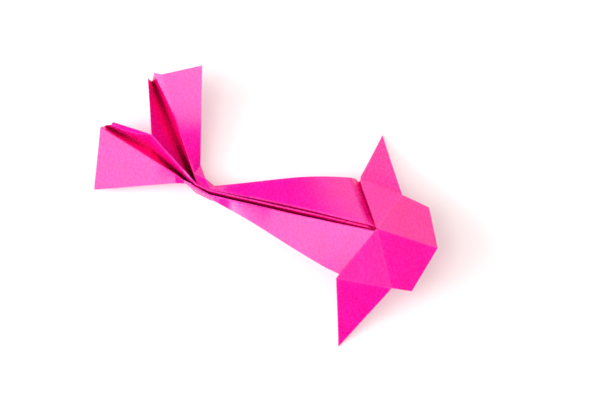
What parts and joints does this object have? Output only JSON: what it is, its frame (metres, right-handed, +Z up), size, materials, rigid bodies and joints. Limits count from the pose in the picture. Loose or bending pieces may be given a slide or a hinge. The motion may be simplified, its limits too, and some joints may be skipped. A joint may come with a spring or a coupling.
{
  "type": "origami fish",
  "caption": "Fish folded from one sheet of bright pink paper, with a faceted hood of a head, side fins, a slit back over a hanging pleat and a tail spread in lobes; a table ornament.",
  "frame": {"origin": "middle of the bounding box, on the table the fish stands on", "axes": "+X from the tail towards the nose, +Y to the fish's left, +Z up"},
  "size_m": [0.1442, 0.0918, 0.0258],
  "materials": {
    "pink_paper": "matt coloured paper, slightly fibrous"
  },
  "bodies": {
    "root": {"paper_fish": "pink_paper"}
  },
  "joints": []
}
